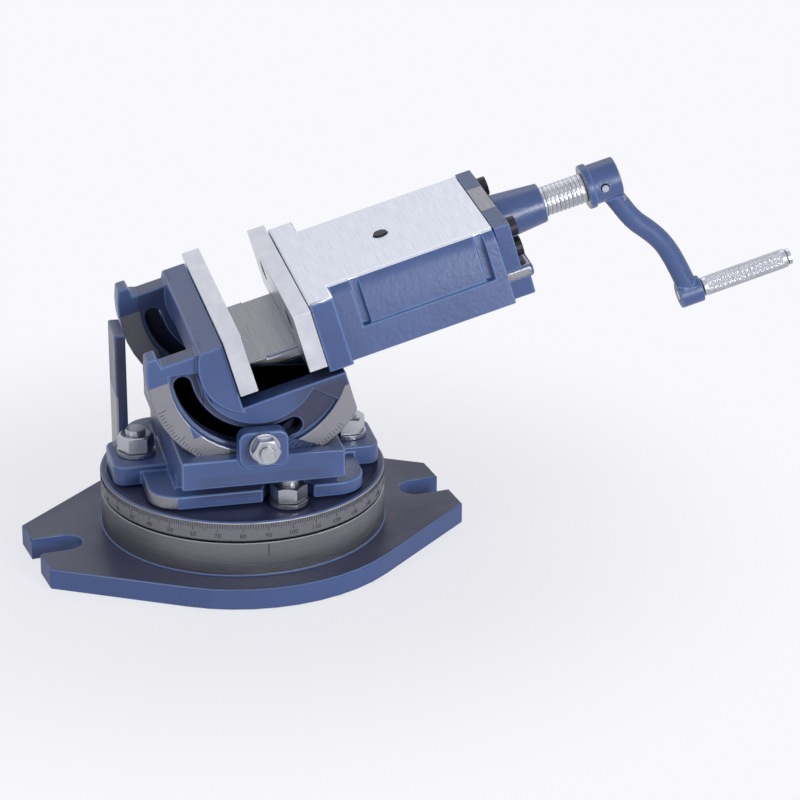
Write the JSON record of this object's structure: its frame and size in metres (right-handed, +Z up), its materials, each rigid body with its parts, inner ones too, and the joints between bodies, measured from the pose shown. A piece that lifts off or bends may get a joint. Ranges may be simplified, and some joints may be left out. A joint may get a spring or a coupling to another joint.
{
  "type": "swivel tilting vise",
  "caption": "Machine vise on a graduated swivel base, with a body that tilts in a saddle, a sliding jaw moved by a lead screw and a hand crank.",
  "frame": {"origin": "centre of the base plate's underside, on the swivel axis", "axes": "+Z up along the swivel axis, +X along the base plate's two open slots, towards the crank; the turntable is stored turned 8 degrees clockwise from above and the body tilted 15.8 degrees, crank end up"},
  "size_m": [0.3214, 0.142, 0.1534],
  "materials": {
    "blue_enamel": "glossy blue enamel on cast iron",
    "ground_steel": "surface ground",
    "turned_steel": "lathe turned",
    "bright_plating": "bright zinc plated",
    "black_oxide": "black oxide",
    "bronze": "machined bronze"
  },
  "bodies": {
    "base": {"base_plate": "blue_enamel", "centre_post": "turned_steel"},
    "moving_jaw_body": {"bracket_screw_1": "bright_plating", "bracket_screw_2": "bright_plating", "bracket_screw_3": "bright_plating", "bracket_screw_4": "bright_plating", "keeper_1": "ground_steel", "keeper_2": "ground_steel", "keeper_screw_1": "black_oxide", "keeper_screw_2": "black_oxide", "keeper_screw_3": "black_oxide", "keeper_screw_4": "black_oxide", "keeper_screw_5": "black_oxide", "keeper_screw_6": "black_oxide", "moving_jaw": "blue_enamel", "moving_jaw_plate": "ground_steel", "moving_jaw_screw_1": "black_oxide", "moving_jaw_screw_2": "black_oxide", "oil_plug": "black_oxide", "rear_bracket": "blue_enamel"},
    "turntable_body": {"clamp_bolt_1": "bright_plating", "clamp_bolt_2": "bright_plating", "clamp_bolt_3": "bright_plating", "clamp_bolt_4": "bright_plating", "clamp_nut_1": "bright_plating", "clamp_nut_2": "bright_plating", "clamp_nut_3": "bright_plating", "clamp_nut_4": "bright_plating", "clamp_washer_1": "bright_plating", "clamp_washer_2": "bright_plating", "clamp_washer_3": "bright_plating", "clamp_washer_4": "bright_plating", "saddle": "blue_enamel", "tilt_bolt_1": "bright_plating", "tilt_bolt_2": "bright_plating", "tilt_nut_1": "bright_plating", "tilt_nut_2": "bright_plating", "tilt_washer_1": "bright_plating", "tilt_washer_2": "bright_plating", "turntable": "turned_steel"},
    "screw_body": {"crank": "blue_enamel", "crank_pin": "bright_plating", "lead_screw": "turned_steel", "retaining_ring": "black_oxide", "sleeve_spindle": "bright_plating"},
    "sleeve_body": {"crank_sleeve": "bright_plating"},
    "tilting_body": {"fixed_jaw_plate": "ground_steel", "fixed_jaw_screw_1": "black_oxide", "fixed_jaw_screw_2": "black_oxide", "nut_screw_1": "black_oxide", "nut_screw_2": "black_oxide", "screw_nut": "bronze", "vise_body": "blue_enamel"}
  },
  "joints": [
    {"name": "swivel", "type": "hinge", "parent": "base", "child": "turntable_body", "pos_m": [0, 0, 0], "axis": [0, 0, 1], "continuous": true},
    {"name": "tilt", "type": "hinge", "parent": "turntable_body", "child": "tilting_body", "pos_m": [0, 0, 0.093], "axis": [-0.1392, -0.9903, 0], "range_deg": [-15.8, 74.2]},
    {"name": "jaw_slide", "type": "slide", "parent": "tilting_body", "child": "moving_jaw_body", "axis": [0.9529, -0.1339, 0.2723], "range_m": [-0.0211, 0.035]},
    {"name": "screw_spin", "type": "hinge", "parent": "moving_jaw_body", "child": "screw_body", "pos_m": [-0.00202, 0.00028, 0.10022], "axis": [0.9529, -0.1339, 0.2723], "range_deg": [-1920, 3180]},
    {"name": "sleeve_spin", "type": "hinge", "parent": "screw_body", "child": "sleeve_body", "pos_m": [0.01429, -0.00201, 0.042], "axis": [0.9529, -0.1339, 0.2723], "continuous": true}
  ],
  "couplings": [
    {"joint": "screw_spin", "follows": "jaw_slide", "rad_per_m": 1570.8}
  ]
}
